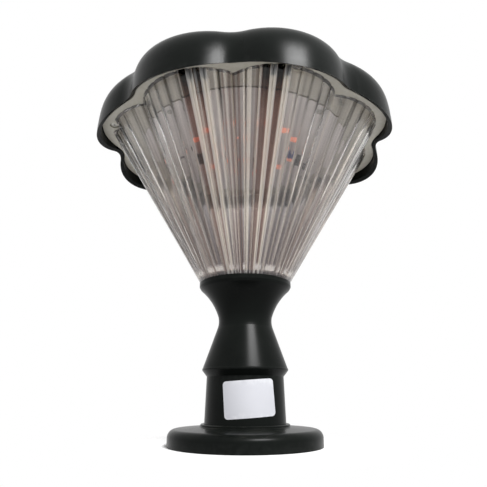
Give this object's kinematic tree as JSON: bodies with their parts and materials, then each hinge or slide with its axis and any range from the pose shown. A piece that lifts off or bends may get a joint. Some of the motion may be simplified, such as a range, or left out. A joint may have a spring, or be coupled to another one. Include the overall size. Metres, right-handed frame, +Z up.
{
  "type": "solar pillar light",
  "caption": "Solar pillar light with a round foot, hourglass neck, clear fluted cone and a domed petal cap that carries a solar panel.",
  "frame": {"origin": "on the ground plane at the centre of the round foot", "axes": "+Z up along the axis of foot, neck and cone; the label faces -Y, the side seen in the picture"},
  "size_m": [0.258, 0.258, 0.2962],
  "materials": {
    "black_shell": "satin moulded black",
    "clear_fluted": "clear glossy moulding",
    "cream_tray": "satin warm grey white",
    "white_board": "white solder mask",
    "led_package": "yellow phosphor in white body",
    "green_board": "green solder mask",
    "zinc_steel": "zinc plated",
    "rubber_black": "soft matt",
    "chip_black": "matt epoxy",
    "ferrite": "ground ferrite",
    "can_blue": "printed sleeve, bare",
    "cell_wrap": "shrink sleeve",
    "holder_black": "matt",
    "nickel": "nickel plated",
    "panel_blue": "dark blue silicon",
    "panel_resin": "clear resin",
    "panel_base": "white laminate",
    "label_white": "bare paper label",
    "wire_red": "insulation",
    "connector_white": "nylon"
  },
  "bodies": {
    "lamp": {"base_moulding": "black_shell", "base_gasket": "rubber_black", "mounting_plate": "zinc_steel", "locking_studs": "zinc_steel", "base_neck_screws": "zinc_steel", "label_sticker": "label_white", "neck_moulding": "black_shell", "neck_cone_screws": "zinc_steel", "cone_seal": "rubber_black", "cone_diffuser": "clear_fluted", "cone_top_screws": "zinc_steel", "reflector_tray": "cream_tray", "tray_seal": "rubber_black", "tray_screws": "zinc_steel", "led_board": "white_board", "led_board_screws": "zinc_steel", "led_chips": "led_package", "board_parts_dark": "chip_black", "board_parts_blue": "can_blue", "led_connector": "connector_white", "switch_body": "holder_black", "switch_nut": "nickel", "controller_board": "green_board", "board_pillars": "cream_tray", "board_screws": "zinc_steel", "controller_chip": "chip_black", "inductor": "ferrite", "capacitor": "can_blue", "battery_holder": "holder_black", "battery_cell": "cell_wrap", "battery_contacts": "nickel", "holder_strap": "holder_black", "cap_shell": "black_shell", "panel_seal": "rubber_black", "panel_substrate": "panel_base", "solar_cells": "panel_blue", "cell_ribbons": "nickel", "panel_cover": "panel_resin", "panel_lead": "wire_red", "battery_lead": "wire_red", "led_lead": "wire_red", "switch_lead": "wire_red"},
    "switch_button": {"switch_button": "holder_black"}
  },
  "joints": [
    {"name": "switch_press", "type": "slide", "parent": "lamp", "child": "switch_button", "axis": [0, 0, 1], "range_m": [0, 0.0015], "stiffness_N_per_m": 400, "springref_m": -0.001}
  ]
}
